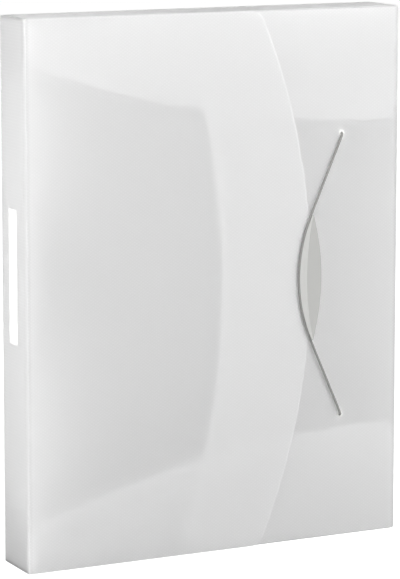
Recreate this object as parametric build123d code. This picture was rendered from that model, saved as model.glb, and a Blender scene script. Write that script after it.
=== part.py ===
from build123d import *
import os
from math import acos, asin, atan2, cos, degrees, hypot

# Outside of the closed box: width across the front, depth from cover to back, height
box_width = 250.0
box_depth = 38.0
box_height = 330.0

# The polypropylene sheet, the room between the layers on the front, and the room round a crease
sheet = 0.8
layer_gap = 0.3
crease_gap = 0.4

# Front cover: reach from the spine at mid height and at its two ends, corner rounding, end trim
cover_reach = 189.0
cover_end_reach = 153.5
cover_corner = 8.0
cover_trim = 0.3

# Fore-edge flap: reach from the fore edge at mid height and at its two ends, corner rounding, end trim
flap_reach = 122.0
flap_end_reach = 151.0
flap_corner = 11.0
flap_trim = 0.8

# Dust flaps: depth at the fore edge and at the spine, length of the level stretch, corner roundings
dust_depth = 69.0
dust_spine_depth = 26.5
dust_level = 14.0
dust_corner = 10.0
dust_spine_corner = 8.0
dust_end_gap = 0.3

# Corner tabs of the top and bottom walls, welded inside the spine and the fore edge
tab_height = 38.7
tab_corner = 4.0
tab_back_gap = 0.5

# Closure clip: a lens shape on the cover's free edge, hollowed as a thumb rest
clip_length = 80.0
clip_thickness = 2.4
clip_spine_bulge = 9.0
clip_free_bulge = 6.8
clip_overhang = 7.0
clip_rim = 1.6
clip_seat_width = 4.6
clip_hollow = 0.7
clip_edge_round = 0.3
clip_tip_round = 0.6
clip_pin_radius = 1.2
clip_pin_spacing = 18.0
clip_pin_inset = 4.9
pin_gap = 0.05

# Elastic cord: thickness, its seat in the clip's edge, its two holes in the flap clear of the dust
# flaps, the bend at a hole
cord_diameter = 1.5
cord_seat = 0.35
cord_seat_gap = 0.1
cord_hole_diameter = 4.0
cord_hole_clearance = 8.0
cord_hole_inset = 39.6
cord_lift = 1.5
cord_exit_bend = 1.45

# Moulded bars on the cord's ends, held behind the flap, each with a stem through its hole
bar_diameter = 1.8
bar_length = 8.6
bar_round = 0.6
bar_slant = 19.0
bar_gap = 0.05
stem_diameter = 3.4
stem_proud = 0.3
stem_bore_gap = 0.05

# Paper label on the spine
label_width = 12.0
label_height = 81.0
label_thickness = 0.12
label_corner = 1.0
label_centre_y = 2.6
label_centre_z = 176.0

# Where the faces of the layers lie
left = -box_width / 2
right = box_width / 2
front = -box_depth / 2
back = box_depth / 2
middle = box_height / 2
inner_back = back - sheet
cover_inner = front + sheet
flap_outer = cover_inner + layer_gap
flap_inner = flap_outer + sheet
dust_outer = flap_inner + layer_gap
dust_inner = dust_outer + sheet
bead = sheet / 2


def block(x0, x1, y0, y1, z0, z1):
    """A box given by its two ends along each direction."""
    centre = Pos((x0 + x1) / 2, (y0 + y1) / 2, (z0 + z1) / 2)
    return centre * Box(x1 - x0, y1 - y0, z1 - z0)


def front_panel(outline, inner_y, thickness=sheet):
    """An outline drawn in X and Z, thickened towards the viewer from the face at inner_y."""
    return extrude(Plane.XZ.offset(-inner_y) * make_face(outline), thickness)


def rounded(panel, corners, radius):
    """The panel with its upright-to-the-sheet edges at the given X, Z corners rounded."""
    edges = panel.edges().filter_by(Axis.Y)
    chosen = []
    for x, z in corners:
        nearest = edges.sort_by(lambda edge: hypot(edge.center().X - x, edge.center().Z - z))[0]
        chosen.append(nearest)
    return fillet(chosen, radius)


def hole_through_front(x, z, radius):
    """A round cutter along Y, long enough for every layer on the front."""
    return Pos(x, front, z) * Rot(90, 0, 0) * Cylinder(radius, box_depth)


def tray_walls():
    """The five fixed panels that make the tray: back, spine, fore edge, top and bottom."""
    spine_front = cover_inner + crease_gap
    fore_front = flap_inner + crease_gap
    end_front = dust_inner + crease_gap
    inside_left = left + sheet
    inside_right = right - sheet
    return {
        "back_panel": block(left, right, inner_back, back, 0, box_height),
        "spine_wall": block(left, inside_left, spine_front, inner_back, 0, box_height),
        "fore_edge_wall": block(inside_right, right, fore_front, inner_back, 0, box_height),
        "top_wall": block(inside_left, inside_right, end_front, inner_back, box_height - sheet, box_height),
        "bottom_wall": block(inside_left, inside_right, end_front, inner_back, 0, sheet),
    }


def corner_tabs():
    """Four tabs folded from the top and bottom walls, flat against the inside of the side walls."""
    y0 = dust_inner + crease_gap
    y1 = inner_back - tab_back_gap
    top_edge = box_height - sheet
    low_edge = top_edge - tab_height
    tab = block(left + sheet, left + 2 * sheet, y0, y1, low_edge, top_edge)
    free_corners = tab.edges().filter_by(Axis.X).group_by(Axis.Z)[0]
    top_spine = fillet(free_corners, tab_corner)
    top_fore = mirror(top_spine, about=Plane.YZ)
    level = Plane.XY.offset(middle)
    return {
        "top_spine_tab": top_spine,
        "bottom_spine_tab": mirror(top_spine, about=level),
        "top_fore_edge_tab": top_fore,
        "bottom_fore_edge_tab": mirror(top_fore, about=level),
    }


def clip_pin_places():
    """X and Z of the three pins that hold the clip in the cover."""
    x = clip_spine_edge + clip_pin_inset
    return [(x, middle - clip_pin_spacing), (x, middle), (x, middle + clip_pin_spacing)]


def front_cover():
    """The outer flap, hinged on the spine, with a bowed free edge and holes for the clip's pins."""
    fold_x = left + bead
    low = cover_trim
    high = box_height - cover_trim
    end_x = left + cover_end_reach
    outline = Polyline((end_x, high), (fold_x, high), (fold_x, low), (end_x, low))
    outline += ThreePointArc((end_x, low), (left + cover_reach, middle), (end_x, high))
    cover = front_panel(outline, cover_inner)
    cover = rounded(cover, [(end_x, low), (end_x, high)], cover_corner)
    cover += Pos(fold_x, front + bead, middle) * Cylinder(bead, high - low)
    for x, z in clip_pin_places():
        cover -= hole_through_front(x, z, clip_pin_radius + pin_gap)
    return cover


def fore_edge_flap():
    """The inner flap, hinged on the fore edge, with a hollow free edge and the cord's two holes."""
    fold_x = right - bead
    low = flap_trim
    high = box_height - flap_trim
    end_x = right - flap_end_reach
    outline = Polyline((end_x, high), (fold_x, high), (fold_x, low), (end_x, low))
    outline += ThreePointArc((end_x, low), (right - flap_reach, middle), (end_x, high))
    flap = front_panel(outline, flap_inner)
    flap = rounded(flap, [(end_x, low), (end_x, high)], flap_corner)
    flap += Pos(fold_x, flap_outer + bead, middle) * Cylinder(bead, high - low)
    for z in cord_hole_heights:
        flap -= hole_through_front(cord_hole_x, z, cord_hole_diameter / 2)
    return flap


def top_dust_flap():
    """The innermost flap, hinged on the top wall, its lower edge level and then rising to the spine."""
    fold_z = box_height - bead
    spine_end = left + 2 * sheet + dust_end_gap
    fore_end = right - 2 * sheet - dust_end_gap
    level_z = box_height - dust_depth
    spine_z = box_height - dust_spine_depth
    level_x = fore_end - dust_level
    outline = Polyline((spine_end, spine_z), (spine_end, fold_z), (fore_end, fold_z), (fore_end, level_z),
                       (level_x, level_z))
    outline += TangentArc((level_x, level_z), (spine_end, spine_z), tangent=(-1, 0))
    flap = front_panel(outline, dust_inner)
    flap = rounded(flap, [(fore_end, level_z)], dust_corner)
    flap = rounded(flap, [(spine_end, spine_z)], dust_spine_corner)
    crease = Rot(0, 90, 0) * Cylinder(bead, fore_end - spine_end)
    return flap + Pos((spine_end + fore_end) / 2, dust_outer + bead, fold_z) * crease


def lens(half_length, spine_bulge, free_bulge, tip_x):
    """A lens outline with its tips above and below tip_x, bulging to both sides."""
    low = (tip_x, middle - half_length)
    high = (tip_x, middle + half_length)
    outline = ThreePointArc(low, (tip_x - spine_bulge, middle), high)
    outline += ThreePointArc(low, (tip_x + free_bulge, middle), high)
    return outline


def closure_clip():
    """The moulded lens with its thumb hollow, the cord's groove, and three pins through the cover."""
    outline = lens(clip_length / 2, clip_spine_bulge, clip_free_bulge, clip_tip_x)
    body = front_panel(outline, front, clip_thickness)
    body = fillet(body.edges().filter_by(Axis.Y), clip_tip_round)
    face_y = front - clip_thickness
    front_rim = body.faces().sort_by(Axis.Y)[0].edges()
    body = fillet(front_rim, clip_edge_round)
    hollow_length = clip_length / 2 - 4 * clip_rim
    outline = lens(hollow_length, clip_spine_bulge - clip_seat_width, clip_free_bulge - clip_rim, clip_tip_x)
    hollow = front_panel(outline, face_y + clip_hollow, clip_hollow)
    body -= fillet(hollow.edges().filter_by(Axis.Y), clip_tip_round)
    body -= cord_tube(cord_diameter / 2 + cord_seat_gap)
    for x, z in clip_pin_places():
        body += Pos(x, (front + cover_inner) / 2, z) * Rot(90, 0, 0) * Cylinder(clip_pin_radius, sheet)
    return body


def cord_route():
    """The stretched cord's centre line: out of one hole, round the clip's edge, into the other.

    The cord leaves both holes on a straight line that just touches the arc round the clip. All of
    it lies in one plane, which tilts from the flap's face out to the middle of the clip's edge.
    """
    run = clip_arc_centre - cord_hole_x
    rise = middle - cord_hole_low
    turn = atan2(rise, run) - acos(cord_arc_radius / hypot(run, rise))
    corner_x = clip_arc_centre - cord_arc_radius / cos(turn)
    hole_y = flap_outer - cord_lift
    seat_x = clip_arc_centre - cord_arc_radius
    slope = (cord_seat_y - hole_y) / (seat_x - cord_hole_x)
    corner_y = hole_y + slope * (corner_x - cord_hole_x)
    low, high = cord_hole_heights
    points = [
        (cord_hole_x, bar_y, high),
        (cord_hole_x, hole_y, high),
        (corner_x, corner_y, middle),
        (cord_hole_x, hole_y, low),
        (cord_hole_x, bar_y, low),
    ]
    return points, [cord_exit_bend, cord_arc_radius, cord_exit_bend]


def cord_tube(radius):
    """A round tube of the given radius along the cord's route."""
    points, radii = cord_route()
    path = FilletPolyline(*points, radius=radii)
    start = Plane(origin=path @ 0, z_dir=path % 0)
    return sweep(start * Circle(radius), path=path)


def end_bar(z, slant):
    """One moulded bar behind the flap, with its stem through the hole and a bore for the cord."""
    bar = Cylinder(bar_diameter / 2, bar_length)
    bar = fillet(bar.edges().filter_by(GeomType.CIRCLE), bar_round)
    bar = Pos(cord_hole_x, bar_y, z) * Rot(0, slant, 0) * bar
    stem_end = flap_outer - stem_proud
    stem_length = bar_y - stem_end
    stem = Rot(90, 0, 0) * Cylinder(stem_diameter / 2, stem_length)
    bore = Rot(90, 0, 0) * Cylinder(cord_diameter / 2 + stem_bore_gap, stem_length)
    stem_place = Pos(cord_hole_x, bar_y - stem_length / 2, z)
    return bar + stem_place * stem - stem_place * bore


def spine_label():
    """A plain paper label stuck on the spine."""
    plate = Box(label_thickness, label_width, label_height)
    plate = fillet(plate.edges().filter_by(Axis.X), label_corner)
    return Pos(left - label_thickness / 2, label_centre_y, label_centre_z) * plate


# The clip stands on the cover's free edge, and the cord's arc is concentric with its spine-side edge
clip_tip_x = left + cover_reach + clip_overhang - clip_free_bulge
clip_spine_edge = clip_tip_x - clip_spine_bulge
clip_arc = ((clip_length / 2) ** 2 + clip_spine_bulge ** 2) / (2 * clip_spine_bulge)
clip_arc_centre = clip_spine_edge + clip_arc
cord_arc_radius = clip_arc + cord_seat
cord_seat_y = front - clip_thickness / 2
cord_hole_x = right - cord_hole_inset
cord_hole_low = dust_depth + cord_hole_clearance
cord_hole_heights = (cord_hole_low, box_height - cord_hole_low)
bar_y = flap_inner + bar_gap + bar_diameter / 2

nodes = tray_walls()
nodes.update(corner_tabs())
nodes["front_cover"] = front_cover()
nodes["fore_edge_flap"] = fore_edge_flap()
nodes["top_dust_flap"] = top_dust_flap()
nodes["bottom_dust_flap"] = mirror(nodes["top_dust_flap"], about=Plane.XY.offset(middle))
nodes["closure_clip"] = closure_clip()
nodes["elastic_cord"] = cord_tube(cord_diameter / 2)
low_bar = end_bar(cord_hole_heights[0], bar_slant)
high_bar = end_bar(cord_hole_heights[1], -bar_slant)
nodes["cord_end_bars"] = Compound(children=[low_bar, high_bar])
nodes["spine_label"] = spine_label()

os.makedirs("parts", exist_ok=True)
for name, shape in nodes.items():
    export_step(shape, f"parts/{name}.step")

radii = cord_route()[1]
print("cord bends, mm:", [round(radius, 2) for radius in radii])
swing_room = inner_back - dust_outer - bead - sheet
print("dust flaps swing in, degrees:", round(degrees(asin(swing_room / (dust_depth - bead))), 1))
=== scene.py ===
import bmesh
import bpy
import math
import numpy as np
from mathutils import Euler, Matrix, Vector


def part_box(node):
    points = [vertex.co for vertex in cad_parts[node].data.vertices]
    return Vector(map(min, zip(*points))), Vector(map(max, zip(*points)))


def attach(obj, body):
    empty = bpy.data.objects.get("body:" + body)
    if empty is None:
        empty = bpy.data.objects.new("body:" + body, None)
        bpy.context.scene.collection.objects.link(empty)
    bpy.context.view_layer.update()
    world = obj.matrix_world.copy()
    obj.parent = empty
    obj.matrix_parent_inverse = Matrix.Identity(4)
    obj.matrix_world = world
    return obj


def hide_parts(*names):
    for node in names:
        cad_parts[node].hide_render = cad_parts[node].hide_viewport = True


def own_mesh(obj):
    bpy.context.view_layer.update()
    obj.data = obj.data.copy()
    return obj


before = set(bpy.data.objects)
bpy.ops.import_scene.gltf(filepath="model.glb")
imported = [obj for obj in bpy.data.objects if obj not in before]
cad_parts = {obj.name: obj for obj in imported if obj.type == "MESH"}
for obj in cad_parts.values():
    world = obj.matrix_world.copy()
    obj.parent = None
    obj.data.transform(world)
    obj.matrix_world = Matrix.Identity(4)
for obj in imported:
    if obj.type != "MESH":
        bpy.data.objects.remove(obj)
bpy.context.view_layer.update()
MM = 0.001


# Camera and studio.
# Two large windows of light in front and a third at the spine light the box. Their strengths were
# fitted to the tones of the photograph. The floor and the room look white to the camera only. The
# box itself gets its light from the lamps, a grey floor and a dim room.
CAMERA_PLACE = (-0.7855, -1.5580, 0.4553)
CAMERA_TURN = 26.675
CAMERA_TILT = -7.857
CAMERA_LENS = 180.2
CAMERA_RISE = -0.1546
ROOM_LEVEL = 0.03
SWEEP_GLOW = 0.97
SWEEP_SIZE = 30.0


def linear(hex_colour):
    """An sRGB hex colour as linear red, green, blue and full alpha."""
    levels = np.array([int(hex_colour[i:i + 2], 16) for i in (1, 3, 5)]) / 255
    low, high = levels / 12.92, ((levels + 0.055) / 1.055) ** 2.4
    return (*np.where(levels <= 0.04045, low, high), 1.0)


def add(tree, kind, inputs=None, **settings):
    """One node of the given kind with its settings; each input is linked or set to a value."""
    node = tree.nodes.new(kind)
    for name, value in settings.items():
        setattr(node, name, value)
    for name, value in (inputs or {}).items():
        if isinstance(value, bpy.types.NodeSocket):
            tree.links.new(value, node.inputs[name])
        else:
            node.inputs[name].default_value = value
    return node


def lamp(name, place, aim, size, power):
    """A square area light of the given side and power that faces the aim point."""
    data = bpy.data.lights.new(name, "AREA")
    data.size, data.energy = size, power
    light = bpy.data.objects.new(name, data)
    light.location = place
    light.rotation_euler = (Vector(aim) - Vector(place)).to_track_quat("-Z", "Y").to_euler()
    bpy.context.scene.collection.objects.link(light)


camera = bpy.data.objects.new("camera", bpy.data.cameras.new("camera"))
camera.location = CAMERA_PLACE
camera.rotation_euler = Euler((math.radians(90 + CAMERA_TILT), 0, -math.radians(CAMERA_TURN)))
camera.data.lens = CAMERA_LENS
camera.data.shift_y = CAMERA_RISE
bpy.context.scene.collection.objects.link(camera)
bpy.context.scene.camera = camera
bpy.context.scene.view_settings.view_transform = "Standard"

world = bpy.data.worlds.new("studio")
world.use_nodes = True
camera_sees = add(world.node_tree, "ShaderNodeLightPath").outputs["Is Camera Ray"]
level = add(world.node_tree, "ShaderNodeMapRange", {"Value": camera_sees, "To Min": ROOM_LEVEL})
background = world.node_tree.nodes["Background"]
background.inputs["Color"].default_value = linear("#FFFFFF")
world.node_tree.links.new(level.outputs["Result"], background.inputs["Strength"])
bpy.context.scene.world = world
lamp("left_window", (-0.4, -1.35, 1.55), (0, 0, 0.2), 1.2, 17)
lamp("right_window", (0.7, -1.4, 1.3), (0, 0, 0.2), 1.2, 46)
lamp("spine_window", (-1.8, 0, 0.42), (0, 0, 0.1), 0.8, 27)

sweep_mesh = bpy.data.meshes.new("sweep")
sweep_corners = [(x * SWEEP_SIZE, y * SWEEP_SIZE, 0) for x, y in ((-1, -1), (1, -1), (1, 1), (-1, 1))]
sweep_mesh.from_pydata(sweep_corners, [], [(0, 1, 2, 3)])
sweep = bpy.data.objects.new("sweep", sweep_mesh)
bpy.context.scene.collection.objects.link(sweep)
paper = bpy.data.materials.new("lit paper sweep")
paper.use_nodes = True
tree = paper.node_tree
tree.nodes.clear()
camera_sees = add(tree, "ShaderNodeLightPath").outputs["Is Camera Ray"]
matt = add(tree, "ShaderNodeBsdfDiffuse", {"Color": linear("#C8C8C8")})
glow = add(tree, "ShaderNodeEmission", {"Strength": SWEEP_GLOW})
both = add(tree, "ShaderNodeAddShader", {0: matt.outputs[0], 1: glow.outputs[0]})
seen = add(tree, "ShaderNodeMixShader", {0: camera_sees, 1: matt.outputs[0], 2: both.outputs[0]})
add(tree, "ShaderNodeOutputMaterial", {"Surface": seen.outputs[0]})
sweep_mesh.materials.append(paper)


# Back panel, folded from the same blank as the walls.
# Extruded polypropylene sheet 0.8 mm thick, die-cut and scored. The sheet is milky: it scatters
# the light that passes through it, so a layer lying against it shows and the far side doesn't.
SHEET = 0.8 * MM
BEAD = SHEET / 2
CUT_ROUND = 0.15 * MM
CUT_GLOW_WIDTH = 3.0 * MM
SCORE_WIDTH = 1.1 * MM
SCORE_DEPTH = 0.25 * MM
SCORE_SHADE = 0.35
EMBOSS_DEPTH = 0.03 * MM
EMBOSS_TONE = 0.955
# FACE_PASS and CUT_PASS paint a highlight band along the cut edges: less light passes there.
FACE_PASS = 0.82
CUT_PASS = 0.79
# The crease tone, with SCORE_SHADE and FOLD_SHADE_WIDTH, paints shade into the folds and scores.
CREASE_SHADE_TONE = 0.9
FOLD_SHADE_WIDTH = 2.5 * MM


def sheet_material():
    """Milky sheet: most light passes and is scattered, a little is sent back, with a satin skin.

    The emboss is two fine hatches that cross at a slant, as a roller leaves them, 1.6 mm apart.
    The cut edges send back more light than the face, a painted highlight band along them, and
    the folds and scores are drawn darker with painted shade.
    """
    material = bpy.data.materials.new("frosted polypropylene sheet, embossed")
    material.use_nodes = True
    tree = material.node_tree
    shader = tree.nodes["Principled BSDF"]
    shader.inputs["Roughness"].default_value = 0.38
    shader.inputs["IOR"].default_value = 1.49
    place = add(tree, "ShaderNodeTexCoord").outputs["Object"]
    hatches = []
    for turn in (34, -34):
        turned = add(tree, "ShaderNodeMapping", {"Vector": place, "Rotation": (0, math.radians(turn), 0)})
        hatch = add(tree, "ShaderNodeTexWave", {"Vector": turned.outputs[0], "Scale": HATCH_SCALE,
                    "Distortion": 0.6, "Detail": 1.0}, bands_direction="Z")
        hatches.append(hatch.outputs["Fac"])
    crossed = add(tree, "ShaderNodeMath", {0: hatches[0], 1: hatches[1]}, operation="MULTIPLY")
    cloud = add(tree, "ShaderNodeTexNoise", {"Vector": place, "Scale": 45.0, "Detail": 3.0})
    tone = add(tree, "ShaderNodeMapRange", {"Value": cloud.outputs["Fac"], "To Min": 0.985, "To Max": 1.0})
    grain = add(tree, "ShaderNodeMapRange", {"Value": crossed.outputs[0], "To Min": EMBOSS_TONE,
                "To Max": 1.0})
    # Painted shade: the crease attribute draws the folds and scores darker.
    crease = add(tree, "ShaderNodeAttribute", attribute_name="crease")
    crease_shade = add(tree, "ShaderNodeMapRange", {"Value": crease.outputs["Fac"], "To Min": 1.0,
                  "To Max": CREASE_SHADE_TONE})
    shade = add(tree, "ShaderNodeMath", {0: tone.outputs[0], 1: grain.outputs[0]}, operation="MULTIPLY")
    shade = add(tree, "ShaderNodeMath", {0: shade.outputs[0], 1: crease_shade.outputs[0]}, operation="MULTIPLY")
    colour = add(tree, "ShaderNodeMix", {"Factor": shade.outputs[0], "A": linear("#000000"),
                 "B": linear("#FFFFFF")}, data_type="RGBA")
    bump = add(tree, "ShaderNodeBump", {"Height": crossed.outputs[0], "Strength": 0.25,
               "Distance": EMBOSS_DEPTH})
    tree.links.new(colour.outputs[2], shader.inputs["Base Color"])
    tree.links.new(bump.outputs[0], shader.inputs["Normal"])
    scattered = add(tree, "ShaderNodeBsdfTranslucent", {"Color": colour.outputs[2],
                    "Normal": bump.outputs[0]})
    # Painted highlight: near a cut edge less light passes and more is sent back, so the edge band is drawn
    # lighter.
    cut = add(tree, "ShaderNodeAttribute", attribute_name="cut_edge")
    passed = add(tree, "ShaderNodeMapRange", {"Value": cut.outputs["Fac"], "To Min": FACE_PASS,
                 "To Max": CUT_PASS}, clamp=False)
    mixed = add(tree, "ShaderNodeMixShader", {0: passed.outputs[0], 1: shader.outputs[0],
                2: scattered.outputs[0]})
    tree.links.new(mixed.outputs[0], tree.nodes["Material Output"].inputs["Surface"])
    return material


def loft(name, rings, material):
    """A closed piece from rings of points, each joined to the next by a band of four-sided faces.

    The first half of a ring is its outer face and the second half its inner face in reverse, so
    each end is closed by a strip that joins the halves. Faces are turned to point outwards.
    """
    rows, count = rings.shape[:2]
    row, point = np.meshgrid(np.arange(rows - 1), np.arange(count), indexing="ij")
    here, beside = row * count + point, row * count + (point + 1) % count
    bands = np.stack([here, beside, beside + count, here + count], axis=-1).reshape(-1, 4)
    outer = np.arange(count // 2 - 1)
    strip = np.stack([outer + 1, outer, count - 1 - outer, count - 2 - outer], axis=-1)
    last = strip[:, ::-1] + (rows - 1) * count
    quads = np.concatenate([bands, strip, last])
    points = rings.reshape(-1, 3)
    a, b, c, d = (points[quads[:, k]] for k in range(4))
    volume = np.einsum("ij,ij->i", a + b + c + d, np.cross(c - a, d - b)).sum()
    if volume < 0:
        quads = quads[:, ::-1]
    mesh = bpy.data.meshes.new(name)
    mesh.from_pydata(points.tolist(), [], quads.tolist())
    mesh.polygons.foreach_set("use_smooth", np.ones(len(quads), bool))
    mesh.set_sharp_from_angle(angle=math.radians(40))
    mesh.materials.append(material)
    piece = bpy.data.objects.new(name, mesh)
    bpy.context.scene.collection.objects.link(piece)
    return piece


def panel(node, body, axes, rows, start, end, scores=(), rounds=(CUT_ROUND, CUT_ROUND),
          cut=(False, False, False)):
    """One panel of the sheet, in place of a CAD node, as a ring carried along its rows.

    axes gives the direction across the panel, its outward normal and the direction of the rows,
    with the point of the outer face where they are measured from. A ring runs across the outer
    face from start to end, which may change from row to row, and back across the inner face. Its
    ends are rounded by quarter turns, and each score is a shallow dip in the outer face with a
    ridge behind it. The cut_edge attribute rises from 0 to 1 in the last 3 mm before a cut edge,
    where it paints a highlight band: cut says whether the start, the end and the first and last
    rows are cut. The crease attribute paints shade: it is highest at a round fold and lower along
    a score.
    """
    origin, across, outward, along = (np.array(v, float) for v in axes)
    quarter = np.radians([90, 60, 30, 0])
    near, near_depth = rounds[0] * (1 - np.sin(quarter)), rounds[0] * (1 - np.cos(quarter))
    far, far_depth = rounds[1] * (1 - np.sin(quarter))[::-1], rounds[1] * (1 - np.cos(quarter))[::-1]
    dip = np.array([-1, -0.5, 0, 0.5, 1]) * SCORE_WIDTH
    dip_depth = SCORE_DEPTH * np.cos(np.pi / 2 * dip / SCORE_WIDTH) ** 2
    score_at = np.concatenate([[]] + [score + dip for score in scores])
    score_depth = np.tile(dip_depth, len(scores))
    band = np.array([0.35, 0.7, 1.0]) * CUT_GLOW_WIDTH
    spread = np.linspace(0, 1, 13)[1:-1]
    from_start = np.concatenate([near, rounds[0] + band, score_at])
    order = np.argsort(from_start)
    depth_start = np.concatenate([near_depth, 0 * band, score_depth])[order]
    from_start = from_start[order]
    from_end = np.concatenate([(rounds[1] + band)[::-1], far])
    depth_end = np.concatenate([0 * band, far_depth])
    share = np.concatenate([0 * from_start, spread, 1 + 0 * from_end])
    between = np.interp(spread, [0, 1], [from_start[-1], -from_end[0]])
    offset = np.concatenate([from_start, between, -from_end])
    depth = np.concatenate([depth_start, 0 * spread, depth_end])
    base = (1 - share) * start[:, None] + share * end[:, None]
    across_at = base + offset
    ring_across = np.concatenate([across_at, across_at[:, ::-1]], axis=1)
    ridge = np.isin(from_start, score_at)
    behind_start = np.where(ridge, -depth_start, depth_start)
    inner_depth = SHEET - np.concatenate([behind_start, 0 * spread, depth_end])
    ring_depth = np.concatenate([depth, inner_depth[::-1]])
    rings = (origin + ring_across[..., None] * across - ring_depth[None, :, None] * outward
             + rows[:, None, None] * along)
    piece = loft(node + "_sheet", rings, frosted)
    gaps = []
    if cut[0]:
        gaps.append(ring_across - start[:, None])
    if cut[1]:
        gaps.append(end[:, None] - ring_across)
    if cut[2]:
        row_gap = np.minimum(rows - rows[0], rows[-1] - rows)
        gaps.append(np.broadcast_to(row_gap[:, None], ring_across.shape))
    # Painted highlight band: the cut_edge values rise towards each cut edge.
    glow = 1 - np.clip(np.min(gaps, axis=0) / CUT_GLOW_WIDTH, 0, 1) if gaps else 0 * ring_across
    piece.data.attributes.new("cut_edge", "FLOAT", "POINT").data.foreach_set("value", glow.ravel())
    # Painted shade at the folds and scores, carried by the crease attribute.
    from_fold = ring_across - start[:, None]
    creases = [SCORE_SHADE * (1 - np.abs(from_fold - score) / SCORE_WIDTH) for score in scores]
    if rounds[0] == BEAD:
        creases.append(1 - from_fold / FOLD_SHADE_WIDTH)
    crease = np.clip(np.max([0 * from_fold] + creases, axis=0), 0, 1)
    piece.data.attributes.new("crease", "FLOAT", "POINT").data.foreach_set("value", crease.ravel())
    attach(piece, body)
    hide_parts(node)
    return piece


HATCH_SPACING = 1.6 * MM
HATCH_SCALE = math.pi / (10 * HATCH_SPACING)
frosted = sheet_material()
X, Y, Z = (1, 0, 0), (0, 1, 0), (0, 0, 1)
FOLD_ROUND = 0.35 * MM


def wall(node, origin, across, outward, along, scores=()):
    """A plain rectangular panel that fills its CAD node's box, both long edges rounded by a fold."""
    low, high = (np.array(v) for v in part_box(node))
    ends = sorted([np.dot(low, across), np.dot(high, across)])
    rows = np.linspace(*sorted([np.dot(low, along), np.dot(high, along)]), 12)
    start, end = np.full(len(rows), ends[0]), np.full(len(rows), ends[1])
    return panel(node, "tray", (origin, across, outward, along), rows, start, end, scores,
                 (FOLD_ROUND, FOLD_ROUND))


wall("back_panel", (0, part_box("back_panel")[1][1], 0), X, Y, Z)


# Spine, fore edge, top and bottom walls.
# Each is folded up from the back along a score line. The spine has a second score just behind
# the cover's fold, which lets the cover stand away from a full box.
SECOND_SCORE = 4.0 * MM
wall("spine_wall", (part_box("spine_wall")[0][0], 0, 0), Y, (-1, 0, 0), Z, (SECOND_SCORE,))
wall("fore_edge_wall", (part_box("fore_edge_wall")[1][0], 0, 0), Y, X, Z)
wall("top_wall", (0, 0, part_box("top_wall")[1][2]), Y, Z, X)
wall("bottom_wall", (0, 0, 0), Y, (0, 0, -1), X)


# Corner tabs.
# The ends of the top and bottom walls turn down inside the spine and the fore edge and are
# welded there, which closes the tray's corners. They show through the spine as lighter squares.
TAB_CORNER = 4.0 * MM
WELD_GAP = 0.03 * MM
WELD_CLEARNESS = 5.0


def tab(node, outward, rises):
    """A tab whose free edge has rounded corners; the row ends draw in by a quarter circle.

    The weld is shown without air between the tab and the wall: away from its cut edge the tab is
    clearer than a loose layer: its cut_edge values start below 0.
    """
    low, high = (np.array(v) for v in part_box(node))
    turn = np.sqrt(np.clip(1 - (1 - np.linspace(0, 1, 7)) ** 2, 0, 1)) * TAB_CORNER
    step = np.linspace(0, 1, 7) * TAB_CORNER
    depth_rows = np.concatenate([low[1] + step, high[1] - step[::-1]])
    reach = (high[2] - low[2]) - TAB_CORNER + np.concatenate([turn, turn[::-1]])
    fixed = high[2] if rises else low[2]
    upward = -1.0 if rises else 1.0
    face = (low[0] if outward < 0 else high[0]) - outward * WELD_GAP
    piece = panel(node, "tray", ((face, 0, fixed), (0, 0, upward), (outward, 0, 0), Y), depth_rows,
                  0 * reach, reach, cut=(False, True, False))
    values = piece.data.attributes["cut_edge"].data
    glow = np.empty(len(values))
    values.foreach_get("value", glow)
    values.foreach_set("value", glow * (1 + WELD_CLEARNESS) - WELD_CLEARNESS)


tab("top_spine_tab", -1, True)
tab("bottom_spine_tab", -1, False)
tab("top_fore_edge_tab", 1, True)
tab("bottom_fore_edge_tab", 1, False)


# Dust flaps, top and bottom.
# The innermost layer. Each turns down from the end wall's front score and keeps papers from
# sliding out. The free edge is level at the fore edge and rises in one long arc to the spine.
DUST_SPINE_DEPTH = 26.5 * MM
DUST_LEVEL = 14.0 * MM
DUST_CORNER = 10.0 * MM
DUST_SPINE_CORNER = 8.0 * MM


def dust_reach(x, low_x, high_x, depth):
    """Depth of a dust flap at each x: the long arc and the level stretch, less the two corners.

    The arc touches the level line, so its radius follows from its width and its rise. Each corner
    takes off what a circle of its radius leaves of a square corner.
    """
    level_x = high_x - DUST_LEVEL
    width, rise = level_x - low_x, depth - DUST_SPINE_DEPTH
    radius = (width ** 2 + rise ** 2) / (2 * rise)
    inward = np.clip(level_x - x, 0, None)
    reach = depth - radius + np.sqrt(radius ** 2 - inward ** 2)
    for gap, corner in ((high_x - x, DUST_CORNER), (x - low_x, DUST_SPINE_CORNER)):
        missing = np.clip(corner - gap, 0, corner)
        reach -= corner - np.sqrt(corner ** 2 - missing ** 2)
    return reach


def dust_flap(node, body, fold_z, upward):
    """A dust flap as rows along X, hinged at fold_z, its reach measured from the fold."""
    low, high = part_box(node)
    turn = 1 - np.cos(np.linspace(0, math.pi / 2, 10))
    rows = np.concatenate([low[0] + turn * DUST_SPINE_CORNER, np.linspace(low[0], high[0], 60)[4:-4],
                           high[0] - turn[::-1] * DUST_CORNER])
    rows = np.unique(np.sort(rows))
    reach = dust_reach(rows, low[0], high[0], high[2] - low[2])
    panel(node, body, ((0, low[1], fold_z), (0, 0, -upward), (0, -1, 0), X), rows, 0 * reach, reach,
          rounds=(BEAD, CUT_ROUND), cut=(False, True, True))


dust_flap("top_dust_flap", "top_flap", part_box("top_dust_flap")[1][2], 1)
dust_flap("bottom_dust_flap", "bottom_flap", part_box("bottom_dust_flap")[0][2], -1)


# Fore-edge flap.
# The middle layer, scored along the fore edge. Its free edge is cut hollow and its corners are
# large, so that it tucks under the cover. Two punched holes take the ends of the cord.
FLAP_MIDDLE_REACH = 122.0 * MM
FLAP_END_DROP = 29.0 * MM
FLAP_CORNER = 11.0 * MM
CORD_HOLE_RADIUS = 2.0 * MM


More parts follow.
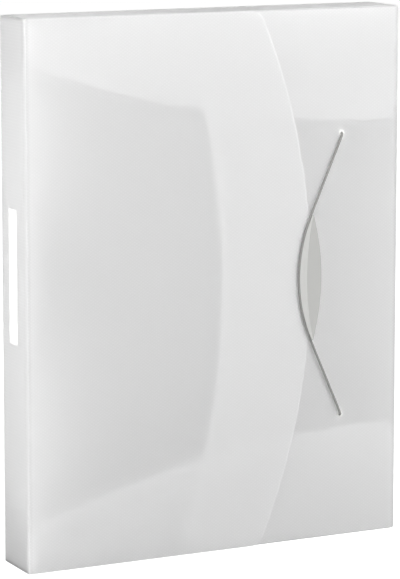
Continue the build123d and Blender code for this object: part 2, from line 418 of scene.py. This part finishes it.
def bowed_reach(z, low_z, high_z, middle_reach, end_drop, corner):
    """Reach of a flap at each z: an arc through its middle and its two ends, with round corners.

    The arc has the given rise over the whole height, hollow where end_drop is negative. A corner
    is the circle that touches the arc and the end of the panel: its centre lies the corner's
    radius inside both.
    """
    half = (high_z - low_z) / 2
    rise = abs(end_drop)
    radius = (half ** 2 + rise ** 2) / (2 * rise)
    side = math.copysign(1, end_drop)
    height = np.abs(z - (low_z + high_z) / 2)
    arc = middle_reach - side * (radius - np.sqrt(radius ** 2 - height ** 2))
    centre_height = half - corner
    centre = middle_reach - side * (radius - math.sqrt((radius - side * corner) ** 2 - centre_height ** 2))
    inside = np.clip(height - centre_height, 0, corner)
    rounded = centre + np.sqrt(corner ** 2 - inside ** 2)
    touch = centre_height * radius / (radius - side * corner)
    return np.where(height > touch, rounded, arc)


def flap_rows(low_z, high_z, corner):
    """Heights of a flap's rows: even over the whole height and closer in the corners."""
    turn = (1 - np.cos(np.linspace(0, math.pi / 2, 12))) * corner
    even = np.linspace(low_z + corner, high_z - corner, 90)
    return np.unique(np.concatenate([low_z + turn, even, high_z - turn]))


def drill(piece, places, radius):
    """Round holes along Y through a piece, cut with a boolean and kept as its mesh."""
    mesh = bpy.data.meshes.new("drill")
    turn = np.linspace(0, 2 * math.pi, 33)[:-1]
    ring = np.stack([np.cos(turn) * radius, 0 * turn, np.sin(turn) * radius], axis=1)
    points, faces = [], []
    for x, y, z in places:
        first = len(points) * 32
        for depth in (-5 * MM, 5 * MM):
            points.append(ring + (x, y + depth, z))
        near = first + np.arange(32)
        faces += np.stack([near, np.roll(near, -1), np.roll(near, -1) + 32, near + 32], axis=1).tolist()
        faces += [near[::-1].tolist(), (near + 32).tolist()]
    mesh.from_pydata(np.concatenate(points).tolist(), [], faces)
    cutter = bpy.data.objects.new("drill", mesh)
    bpy.context.scene.collection.objects.link(cutter)
    cut = piece.modifiers.new("holes", "BOOLEAN")
    cut.object, cut.solver = cutter, "EXACT"
    bpy.context.view_layer.update()
    finished = bpy.data.meshes.new_from_object(piece.evaluated_get(bpy.context.evaluated_depsgraph_get()))
    piece.modifiers.clear()
    piece.data = finished
    bpy.data.objects.remove(cutter)


flap_low, flap_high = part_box("fore_edge_flap")
rows = flap_rows(flap_low[2], flap_high[2], FLAP_CORNER)
reach = bowed_reach(rows, flap_low[2], flap_high[2], FLAP_MIDDLE_REACH, -FLAP_END_DROP, FLAP_CORNER)
flap_axes = ((flap_high[0], flap_low[1], 0), (-1, 0, 0), (0, -1, 0), Z)
flap_piece = panel("fore_edge_flap", "fore_flap", flap_axes, rows, 0 * reach, reach,
                   rounds=(BEAD, CUT_ROUND), cut=(False, True, True))
bars_low, bars_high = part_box("cord_end_bars")
cord_hole_x = (bars_low[0] + bars_high[0]) / 2
CORD_HOLE_RISE = 88.0 * MM
middle = (bars_low[2] + bars_high[2]) / 2
holes = [(cord_hole_x, flap_low[1], middle + side * CORD_HOLE_RISE) for side in (-1, 1)]
drill(flap_piece, holes, CORD_HOLE_RADIUS)


# Cord end bars.
# Moulded white nylon. Each bar lies behind the flap, too long for the hole, and its bored stem
# stands through the hole as a small ring round the cord. Both bars slant towards the clip.
BAR_RADIUS = 0.9 * MM
BAR_HALF_LENGTH = 4.3 * MM
BAR_ROUND = 0.6 * MM
BAR_SLANT = math.radians(19)
STEM_RADIUS = 1.9 * MM
STEM_BORE = 0.8 * MM
STEM_ROUND = 0.25 * MM
# Colour the clip's thumb slope is drawn in, darker than the rest.
DARKER_SLOPE_COLOUR = "#B4B4B2"


def moulded_material(name, colour, shade, roughness, passing, speck):
    """A moulded plastic: a satin skin with a faint cloud of tone, and a share of light let through.

    Where a piece has its slope mask set, its colour is drawn darker.
    """
    material = bpy.data.materials.new(name)
    material.use_nodes = True
    tree = material.node_tree
    shader = tree.nodes["Principled BSDF"]
    shader.inputs["IOR"].default_value = 1.49
    place = add(tree, "ShaderNodeTexCoord").outputs["Object"]
    cloud = add(tree, "ShaderNodeTexNoise", {"Vector": place, "Scale": 1 / speck, "Detail": 4.0})
    tone = add(tree, "ShaderNodeMix", {"Factor": cloud.outputs["Fac"], "A": linear(shade),
               "B": linear(colour)}, data_type="RGBA")
    darker_slope = add(tree, "ShaderNodeAttribute", attribute_name="darker_slope")
    tone = add(tree, "ShaderNodeMix", {"Factor": darker_slope.outputs["Fac"], "A": tone.outputs[2],
               "B": linear(DARKER_SLOPE_COLOUR)}, data_type="RGBA")
    skin = add(tree, "ShaderNodeMapRange", {"Value": cloud.outputs["Fac"], "To Min": roughness - 0.05,
               "To Max": roughness + 0.08})
    bump = add(tree, "ShaderNodeBump", {"Height": cloud.outputs["Fac"], "Strength": 0.2,
               "Distance": 0.05 * MM})
    tree.links.new(tone.outputs[2], shader.inputs["Base Color"])
    tree.links.new(skin.outputs[0], shader.inputs["Roughness"])
    tree.links.new(bump.outputs[0], shader.inputs["Normal"])
    scattered = add(tree, "ShaderNodeBsdfTranslucent", {"Color": tone.outputs[2]})
    mixed = add(tree, "ShaderNodeMixShader", {0: passing, 1: shader.outputs[0], 2: scattered.outputs[0]})
    tree.links.new(mixed.outputs[0], tree.nodes["Material Output"].inputs["Surface"])
    return material


def turned(name, profile, place, direction, material, sides=40):
    """A turned piece: a closed profile of radius and height, revolved about the direction at place."""
    direction = np.array(direction, float)
    side = np.cross(direction, (0.3, 0.9, 0.5))
    side /= np.linalg.norm(side)
    other = np.cross(direction, side)
    radius, height = np.array(profile).T
    turn = np.linspace(0, 2 * math.pi, sides + 1)[:-1]
    round_way = np.cos(turn)[:, None] * side + np.sin(turn)[:, None] * other
    points = place + height[:, None, None] * direction + radius[:, None, None] * round_way
    count = len(radius)
    row, step = np.meshgrid(np.arange(count), np.arange(sides), indexing="ij")
    beside, above = (step + 1) % sides, (row + 1) % count * sides
    quads = np.stack([row * sides + step, row * sides + beside, above + beside, above + step], axis=-1)
    mesh = bpy.data.meshes.new(name)
    mesh.from_pydata(points.reshape(-1, 3).tolist(), [], quads.reshape(-1, 4).tolist())
    work = bmesh.new()
    work.from_mesh(mesh)
    bmesh.ops.remove_doubles(work, verts=work.verts, dist=0.0001 * MM)
    bmesh.ops.recalc_face_normals(work, faces=work.faces)
    work.to_mesh(mesh)
    work.free()
    mesh.polygons.foreach_set("use_smooth", np.ones(len(mesh.polygons), bool))
    mesh.set_sharp_from_angle(angle=math.radians(40))
    mesh.materials.append(material)
    piece = bpy.data.objects.new(name, mesh)
    bpy.context.scene.collection.objects.link(piece)
    return piece


def rounded_end(radius, height, corner):
    """Profile points of one rounded rim, from the side wall to the end face."""
    return [(radius - corner + corner * math.cos(a), height - corner + corner * math.sin(a))
            for a in np.radians([0, 22.5, 45, 67.5, 90])]


nylon = moulded_material("white nylon, moulded", "#FAFAF8", "#F1F1EF", 0.35, 0.25, 1.2 * MM)
bar_y = bars_high[1] - BAR_RADIUS
stem_length = bar_y - bars_low[1]
for number, (x, y, z) in enumerate(holes):
    lean = BAR_SLANT if z < middle else -BAR_SLANT
    place, along = (x, bar_y, z), (math.sin(lean), 0, math.cos(lean))
    half = rounded_end(BAR_RADIUS, BAR_HALF_LENGTH, BAR_ROUND) + [(0, BAR_HALF_LENGTH)]
    outline = [(r, -h) for r, h in half[::-1]] + half
    bar = turned(f"cord_end_bar_{number + 1}", outline, place, along, nylon)
    outer = [(STEM_RADIUS, 0)] + rounded_end(STEM_RADIUS, stem_length, STEM_ROUND)
    inner = [(2 * STEM_BORE + STEM_ROUND - r, h) for r, h in
             rounded_end(STEM_BORE + STEM_ROUND, stem_length, STEM_ROUND)][::-1]
    outline = outer + inner + [(STEM_BORE, 0)]
    stem = turned(f"cord_end_stem_{number + 1}", outline, place, (0, -1, 0), nylon)
    for piece in (bar, stem):
        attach(piece, "fore_flap")
        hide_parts("cord_end_bars")


# Front cover.
# The outer layer, scored along the spine. Its free edge is one long bow with rounded corners and
# carries the clip at its middle, on three pins through punched holes.
COVER_END_DROP = 35.5 * MM
COVER_CORNER = 8.0 * MM
PIN_RADIUS = 1.2 * MM
PIN_SPACING = 18.0 * MM
PIN_INSET = 4.9 * MM
cover_low, cover_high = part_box("front_cover")
clip_low, clip_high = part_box("closure_clip")
rows = flap_rows(cover_low[2], cover_high[2], COVER_CORNER)
cover_reach = cover_high[0] - cover_low[0]
reach = bowed_reach(rows, cover_low[2], cover_high[2], cover_reach, COVER_END_DROP, COVER_CORNER)
cover_axes = ((cover_low[0], cover_low[1], 0), X, (0, -1, 0), Z)
cover_piece = panel("front_cover", "cover", cover_axes, rows, 0 * reach, reach,
                    rounds=(BEAD, CUT_ROUND), cut=(False, True, True))
pin_x = clip_low[0] + PIN_INSET
pin_places = [(pin_x, cover_low[1], middle + step * PIN_SPACING) for step in (-1, 0, 1)]
drill(cover_piece, pin_places, PIN_RADIUS + 0.05 * MM)


# Closure clip.
# One moulding of grey, lightly clouded polypropylene: a lens with a seat for the cord along its
# spine side, a ridge, and a thumb slope behind it that thins towards the free side and is drawn darker.
CLIP_TIP_INSET = 0.2 * MM
CLIP_HALF_LENGTH = 40.0 * MM
CLIP_TIP_ROUND = 0.6 * MM
CLIP_ROUND = 0.3 * MM
CLIP_BACK_ROUND = 0.15 * MM
SEAT_WIDTH = 4.6 * MM
RIDGE_HEIGHT = 0.16 * MM
RIDGE_WIDTH = 0.45 * MM
BEAD_OFFSET = 2.3 * MM
SLOPE_DEPTH = 0.45 * MM
SLOPE_RUN = 0.9 * MM
SLOPE_FALL = 0.12
SEAT_FALL = 0.05
GROOVE_RADIUS = 0.85 * MM
CORD_SEAT = 0.35 * MM
GATE_RADIUS = 0.9 * MM
GATE_DEPTH = 0.15 * MM
GATE_DROP = 9.0 * MM


def lens_edge(height, half_length, bulge):
    """How far a lens's arc stands from the line through its tips, at each height from its middle."""
    radius = (half_length ** 2 + bulge ** 2) / (2 * bulge)
    return bulge - radius + np.sqrt(radius ** 2 - np.minimum(np.abs(height), half_length) ** 2)


def eased(value):
    """A smooth step from 0 to 1."""
    value = np.clip(value, 0, 1)
    return value * value * (3 - 2 * value)


def clip_face_depth(x, height, ridge_x):
    """Depth of the clip's face below the crest of its ridge.

    The seat on the spine side lies a ridge's height down, leans to the spine, and has one finer
    bead along it. Past the ridge the face drops to the thumb slope, which goes on falling to the
    free side and has one round gate mark in it.
    """
    past = x - ridge_x
    ridge = np.exp(-(past / RIDGE_WIDTH) ** 2) + 0.6 * np.exp(-((past + BEAD_OFFSET) / RIDGE_WIDTH) ** 2)
    near_tip = eased((CLIP_HALF_LENGTH - np.abs(height)) / (8 * MM))
    slope = eased(past / SLOPE_RUN)
    gate = 1 - eased((np.hypot(x - RIDGE_WIDTH, height + GATE_DROP) - GATE_RADIUS) / (0.3 * GATE_RADIUS))
    fall = SLOPE_FALL * np.clip(past, 0, None) + SEAT_FALL * np.clip(-past, 0, None)
    seat_depth = RIDGE_HEIGHT * (1 - ridge) * (1 - slope)
    slope_depth = (SLOPE_DEPTH + GATE_DEPTH * gate) * slope
    return near_tip * (seat_depth + slope_depth + fall)


def clip_body(name, material):
    """The clip as rings from tip to tip: up the grooved side, over the face, down the free side."""
    tip_x = cover_high[0] + CLIP_TIP_INSET
    spine_bulge, free_bulge = tip_x - clip_low[0], clip_high[0] - tip_x
    thickness = cover_low[1] - clip_low[1]
    half_height = (clip_high[2] - clip_low[2]) / 2
    height = half_height * np.sin(np.linspace(-math.pi / 2, math.pi / 2, 161))[:, None]
    spine_edge = -lens_edge(height, CLIP_HALF_LENGTH, spine_bulge)
    free_edge = lens_edge(height, CLIP_HALF_LENGTH, free_bulge)
    from_tip = np.clip((half_height - np.abs(height)) / CLIP_TIP_ROUND, 0, 1)
    width = np.maximum(np.sqrt(1 - (1 - from_tip) ** 2), 0.1)
    centre = (spine_edge + free_edge) / 2
    spine_edge, free_edge = centre + (spine_edge - centre) * width, centre + (free_edge - centre) * width
    small = np.clip((free_edge - spine_edge) / (3 * MM), 0.05, 1)
    share = np.linspace(0, 1, 92)[1:-1]
    face_x = (spine_edge + small * CLIP_ROUND) * (1 - share) + (free_edge - small * CLIP_ROUND) * share
    ridge_x = -lens_edge(height, CLIP_HALF_LENGTH, spine_bulge - SEAT_WIDTH)
    face_depth = clip_face_depth(face_x, height, ridge_x)
    quarter = np.radians([0, 30, 60, 90])
    round_x, round_depth = CLIP_ROUND * (1 - np.cos(quarter)), CLIP_ROUND * (1 - np.sin(quarter))
    groove = np.linspace(-1, 1, 9) * math.acos(CORD_SEAT / GROOVE_RADIUS)
    groove_x = np.maximum(GROOVE_RADIUS * np.cos(groove) - CORD_SEAT, 0)
    side_x = np.concatenate([[0], groove_x, round_x])
    groove_depth = thickness / 2 - GROOVE_RADIUS * np.sin(groove)
    side_depth = np.concatenate([[thickness - CLIP_BACK_ROUND], groove_depth, round_depth])
    side_depth = np.maximum(side_depth, face_depth[:, :1])
    far_depth = face_depth[:, -1:] + round_depth[::-1]
    back_depth = np.full_like(height, thickness - CLIP_BACK_ROUND)
    far_x = free_edge - small * round_x[::-1]
    outer_x = np.concatenate([spine_edge + small * side_x, face_x, far_x, free_edge], axis=1)
    depth = np.concatenate([side_depth, face_depth, far_depth, back_depth], axis=1)
    inset = small * CLIP_BACK_ROUND
    inner_x = np.clip(outer_x, spine_edge + inset, free_edge - inset)[:, ::-1]
    ring_x = tip_x + np.concatenate([outer_x, inner_x], axis=1)
    ring_y = np.concatenate([clip_low[1] + depth, np.full_like(inner_x, cover_low[1])], axis=1)
    ring_z = middle + np.broadcast_to(height, ring_x.shape)
    piece = loft(name, np.stack([ring_x, ring_y, ring_z], axis=-1), material)
    # Mask that draws the thumb slope darker, from the ridge towards the free side.
    darker_slope = eased((ring_x - tip_x - ridge_x) / SLOPE_RUN)
    piece.data.attributes.new("darker_slope", "FLOAT", "POINT").data.foreach_set("value", darker_slope.ravel())
    return piece


clouded = moulded_material("clouded polypropylene, moulded", "#C8C8C6", "#C0C0BE", 0.34, 0.25, 3.0 * MM)
pin_length = clip_high[1] - cover_low[1]
pin_outline = [(0, 0), (PIN_RADIUS, 0)] + rounded_end(PIN_RADIUS, pin_length, CLIP_BACK_ROUND)
pin_outline.append((0, pin_length))
clip_pieces = [clip_body("closure_clip_body", clouded)]
for number, place in enumerate(pin_places):
    clip_pieces.append(turned(f"closure_clip_pin_{number + 1}", pin_outline, place, Y, clouded, 24))
for piece in clip_pieces:
    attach(piece, "cover")
    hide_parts("closure_clip")


# Elastic cord.
# Rubber threads in a braided grey polyester jacket, 1.5 mm across. It leaves one stem, touches
# the groove round the clip's spine side, and goes back into the other stem under tension.
CORD_RADIUS = 0.75 * MM
CORD_ROUTE = [(85.4, -16.15, 253.0), (85.4, -19.4, 253.0), (45.8, -20.44, 165.0), (85.4, -19.4, 77.0),
              (85.4, -16.15, 77.0)]
CORD_BENDS = [1.45, 93.74, 1.45]
BRAID_PITCH = 2.4 * MM
BRAID_STRANDS = 6
BRAID_RELIEF = 0.03 * MM
CORD_STEP = 0.16 * MM


def bent_route(points, bends):
    """A route of straight runs whose inner points are rounded to arcs of the given radii."""
    route = [points[0]]
    for before, point, after, bend in zip(points, points[1:], points[2:], bends):
        arriving = (point - before) / np.linalg.norm(point - before)
        leaving = (after - point) / np.linalg.norm(after - point)
        turn = math.acos(np.dot(arriving, leaving))
        inward = (leaving - arriving) / np.linalg.norm(leaving - arriving)
        centre = point + inward * bend / math.cos(turn / 2)
        bisector = (arriving + leaving) / np.linalg.norm(arriving + leaving)
        angles = np.linspace(-turn / 2, turn / 2, max(12, int(bend / MM * turn / 0.4)))[:, None]
        route.extend(centre + bend * (bisector * np.sin(angles) - inward * np.cos(angles)))
    route.append(points[-1])
    return np.array(route)


def braided_cord(name, route, material):
    """A tube along the route whose jacket stands up in staggered diamonds, as crossing strands do."""
    length = np.concatenate([[0], np.cumsum(np.linalg.norm(np.diff(route, axis=0), axis=1))])
    at = np.linspace(0, length[-1], int(length[-1] / CORD_STEP))
    centre = np.stack([np.interp(at, length, route[:, k]) for k in range(3)], axis=1)
    ahead = np.gradient(centre, axis=0)
    ahead /= np.linalg.norm(ahead, axis=1)[:, None]
    side = np.cross((1, 0, 0), ahead)
    side /= np.linalg.norm(side, axis=1)[:, None]
    other = np.cross(ahead, side)
    turn = np.linspace(0, 2 * math.pi, 25)[:-1]
    strand = BRAID_STRANDS * turn[None, :]
    travel = 2 * math.pi * at[:, None] / BRAID_PITCH
    weave = 0.5 + 0.25 * np.cos(strand + travel) + 0.25 * np.cos(strand - travel)
    radius = CORD_RADIUS - BRAID_RELIEF * (1 - weave)
    rings = (centre[:, None] + radius[..., None] * (np.cos(turn)[None, :, None] * side[:, None]
             + np.sin(turn)[None, :, None] * other[:, None]))
    piece = loft(name, rings, material)
    # The weave value also carries painted shade between the strands into the jacket's colour.
    piece.data.attributes.new("weave", "FLOAT", "POINT").data.foreach_set("value", weave.ravel())
    return piece


def jacket_material():
    """Braided polyester: darker between the strands, with fine thread lines and a soft sheen."""
    material = bpy.data.materials.new("braided polyester jacket")
    material.use_nodes = True
    tree = material.node_tree
    shader = tree.nodes["Principled BSDF"]
    shader.inputs["Roughness"].default_value = 0.7
    shader.inputs["Sheen Weight"].default_value = 0.3
    weave = add(tree, "ShaderNodeAttribute", attribute_name="weave")
    place = add(tree, "ShaderNodeTexCoord").outputs["Object"]
    thread = add(tree, "ShaderNodeTexWave", {"Vector": place, "Scale": math.pi / (10 * 0.25 * MM),
                 "Distortion": 1.5, "Detail": 2.0}, bands_direction="Z")
    # Painted shade: the weave value draws the jacket darker in the gaps between the strands.
    colour = add(tree, "ShaderNodeMix", {"Factor": weave.outputs["Fac"], "A": linear("#5C5C5A"),
                 "B": linear("#929290")}, data_type="RGBA")
    bump = add(tree, "ShaderNodeBump", {"Height": thread.outputs["Fac"], "Strength": 0.4,
               "Distance": 0.03 * MM})
    tree.links.new(colour.outputs[2], shader.inputs["Base Color"])
    tree.links.new(bump.outputs[0], shader.inputs["Normal"])
    return material


route = bent_route(np.array(CORD_ROUTE) * MM, np.array(CORD_BENDS) * MM)
cord = braided_cord("elastic_cord_jacket", route, jacket_material())
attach(cord, "fore_flap")
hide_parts("elastic_cord")
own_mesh(cord)


# Spine label.
# A plain white paper label with rounded corners, stuck on the spine above its middle and bare.
LABEL_CORNER = 1.0 * MM


def paper_material():
    """Smooth uncoated label paper: fibres as a fine cloud, barely off white."""
    material = bpy.data.materials.new("white label paper")
    material.use_nodes = True
    tree = material.node_tree
    shader = tree.nodes["Principled BSDF"]
    shader.inputs["Roughness"].default_value = 0.75
    place = add(tree, "ShaderNodeTexCoord").outputs["Object"]
    fibre = add(tree, "ShaderNodeTexNoise", {"Vector": place, "Scale": 1 / (0.4 * MM), "Detail": 5.0})
    colour = add(tree, "ShaderNodeMix", {"Factor": fibre.outputs["Fac"], "A": linear("#F4F4F2"),
                 "B": linear("#FFFFFF")}, data_type="RGBA")
    bump = add(tree, "ShaderNodeBump", {"Height": fibre.outputs["Fac"], "Strength": 0.3,
               "Distance": 0.02 * MM})
    tree.links.new(colour.outputs[2], shader.inputs["Base Color"])
    tree.links.new(bump.outputs[0], shader.inputs["Normal"])
    return material


label_low, label_high = (np.array(v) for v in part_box("spine_label"))
step = np.linspace(0, 1, 7)
turn = LABEL_CORNER * (1 - np.sqrt(1 - (1 - step) ** 2))
label_rows = np.concatenate([label_low[2] + step * LABEL_CORNER, label_high[2] - step[::-1] * LABEL_CORNER])
drawn_in = np.concatenate([turn, turn[::-1]])
share = np.linspace(0, 1, 9)
ring_y = (label_low[1] + drawn_in)[:, None] * (1 - share) + (label_high[1] - drawn_in)[:, None] * share
ring_y = np.concatenate([ring_y, ring_y[:, ::-1]], axis=1)
ring_x = np.broadcast_to(np.repeat([label_low[0], label_high[0]], len(share)), ring_y.shape)
ring_z = np.broadcast_to(label_rows[:, None], ring_y.shape)
label = loft("spine_label_paper", np.stack([ring_x, ring_y, ring_z], axis=-1), paper_material())
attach(label, "tray")
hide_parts("spine_label")
